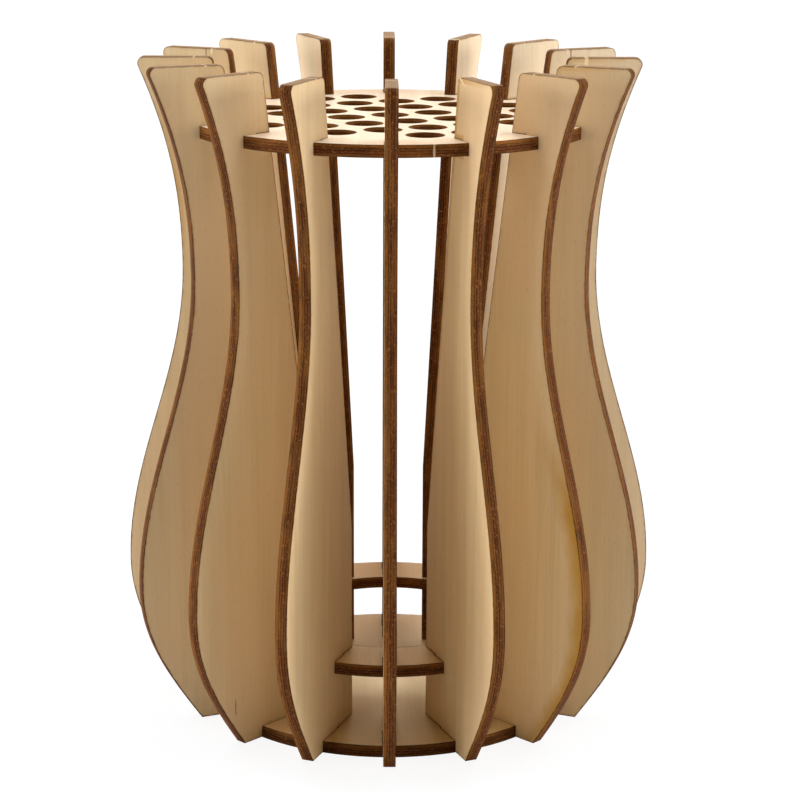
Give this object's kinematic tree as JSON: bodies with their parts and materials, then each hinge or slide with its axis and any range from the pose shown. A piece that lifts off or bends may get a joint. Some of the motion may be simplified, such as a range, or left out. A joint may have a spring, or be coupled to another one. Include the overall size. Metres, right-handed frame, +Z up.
{
  "type": "wooden puzzle vase",
  "caption": "Flower vase of upright curved plywood ribs slotted into flat discs, the top one pierced with round holes for stems.",
  "frame": {"origin": "on the floor, on the vase's axis, in the plane of the base disc's underside and the ribs' feet", "axes": "+Z up along the vase's axis, -Y towards the first rib, which faces the viewer"},
  "size_m": [0.178, 0.178, 0.22],
  "materials": {
    "rib_ply": "bare birch plywood with laser-scorched brown edges",
    "disc_ply": "bare pale birch plywood with laser-scorched brown edges"
  },
  "bodies": {
    "root": {"rib_01": "rib_ply", "rib_02": "rib_ply", "rib_03": "rib_ply", "rib_04": "rib_ply", "rib_05": "rib_ply", "rib_06": "rib_ply", "rib_07": "rib_ply", "rib_08": "rib_ply", "rib_09": "rib_ply", "rib_10": "rib_ply", "rib_11": "rib_ply", "rib_12": "rib_ply", "rib_13": "rib_ply", "rib_14": "rib_ply", "rib_15": "rib_ply", "rib_16": "rib_ply", "top_stem_disc": "disc_ply", "middle_ring": "disc_ply", "base_disc": "disc_ply"}
  },
  "joints": []
}
